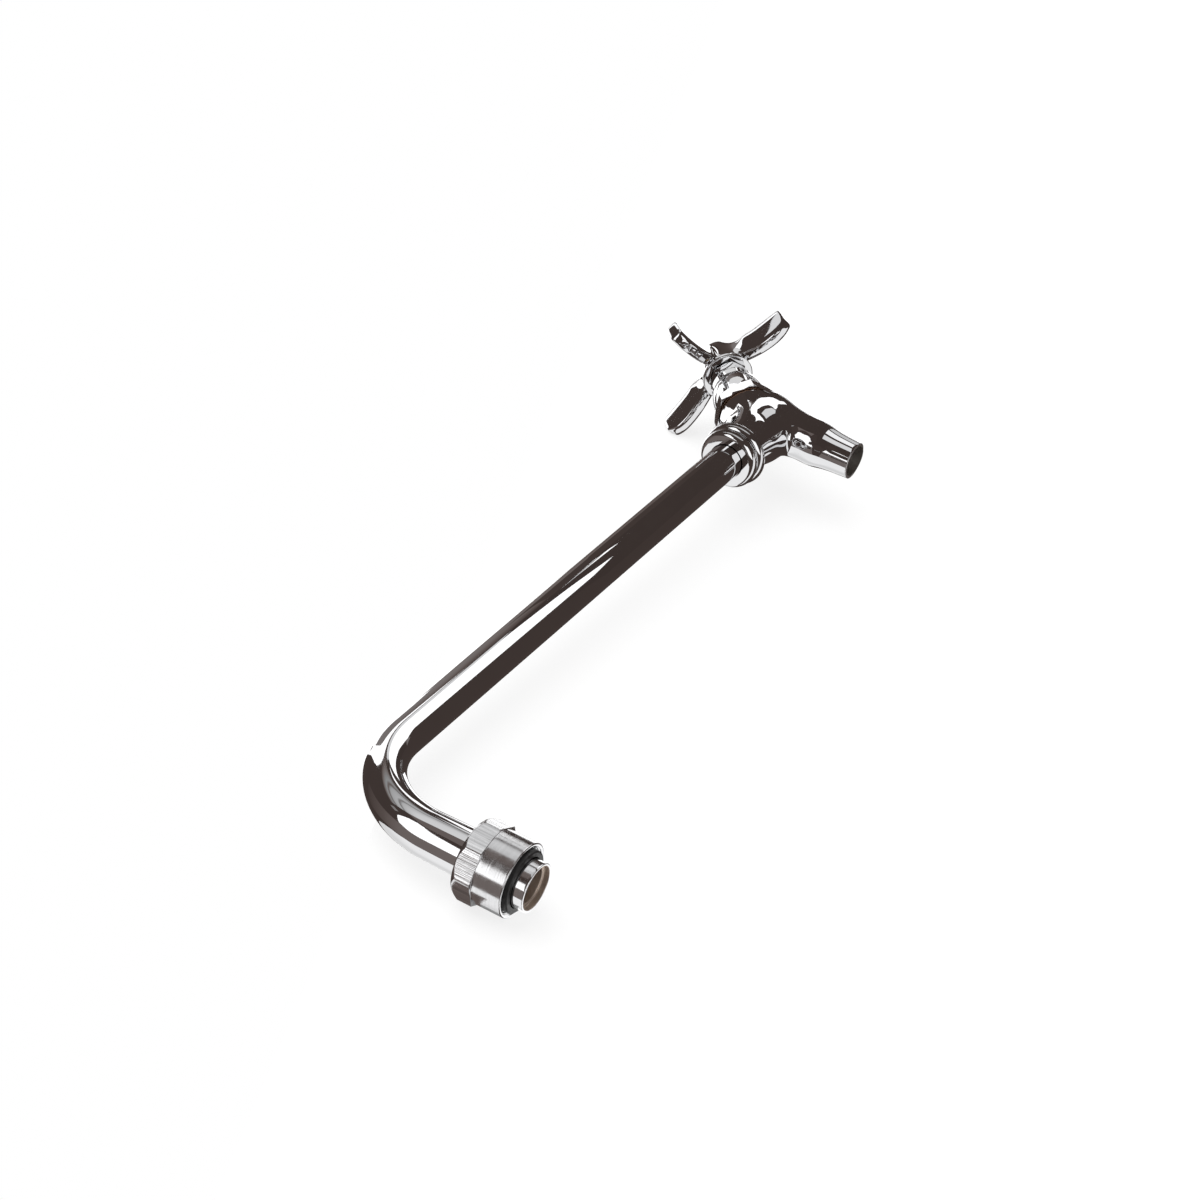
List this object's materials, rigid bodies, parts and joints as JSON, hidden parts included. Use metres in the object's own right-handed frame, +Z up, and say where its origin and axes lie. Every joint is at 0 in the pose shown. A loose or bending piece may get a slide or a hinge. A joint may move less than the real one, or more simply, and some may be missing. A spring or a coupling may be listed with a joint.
{
  "type": "hose bib",
  "caption": "Chrome swing arm with a swivel nut at its foot and, at its far end, a compression bib valve with a cross handle and a plain tapered outlet.",
  "frame": {"origin": "centre of the swivel nut's open rim, on the axis about which the arm swings", "axes": "+X from the swivel axis along the arm to the bib, +Z up the swivel axis away from the faucet outlet, -Z into the faucet"},
  "size_m": [0.3235, 0.051, 0.1182],
  "materials": {
    "nut_chrome": "polished chrome plate, with fine machining lines on the flats",
    "tube_chrome": "mirror-polished chrome plate",
    "casting_chrome": "mirror-polished chrome plate",
    "handle_chrome": "mirror-polished chrome plate",
    "washer_brass": "plain turned brass",
    "spigot_brass": "turned brass, plated outside",
    "inner_brass": "plain turned brass",
    "black_rubber": "matt moulded rubber",
    "gasket_fibre": "pressed fibre sheet",
    "packing_yarn": "graphited packing yarn",
    "screw_steel": "plain stainless steel"
  },
  "bodies": {
    "swivel": {"swivel_nut": "nut_chrome", "slip_washer": "washer_brass", "swivel_washer": "black_rubber"},
    "arm": {"spigot": "spigot_brass", "spout_tube": "tube_chrome", "valve_body": "casting_chrome", "valve_seat": "inner_brass", "bonnet_gasket": "gasket_fibre", "bonnet": "casting_chrome", "packing_washer": "inner_brass", "stem_packing": "packing_yarn", "packing_gland": "inner_brass", "packing_nut": "nut_chrome"},
    "disc": {"disc_holder": "inner_brass", "seat_washer": "black_rubber", "washer_screw": "inner_brass", "holder_clip": "screw_steel"},
    "handle": {"stem": "inner_brass", "handle": "handle_chrome", "handle_washer": "screw_steel", "handle_screw": "screw_steel", "index_button": "handle_chrome"}
  },
  "joints": [
    {"name": "spout_swing", "type": "hinge", "parent": "swivel", "child": "arm", "pos_m": [0, 0, 0], "axis": [0, 0, 1], "continuous": true},
    {"name": "stem_rise", "type": "slide", "parent": "arm", "child": "disc", "axis": [0.7071, 0, 0.7071], "range_m": [0, 0.00375]},
    {"name": "handle_turn", "type": "hinge", "parent": "disc", "child": "handle", "pos_m": [0.2599, 0, 0.0626], "axis": [0.7071, 0, 0.7071], "range_deg": [0, 540]}
  ],
  "couplings": [
    {"joint": "handle_turn", "follows": "stem_rise", "rad_per_m": 2513.3}
  ]
}
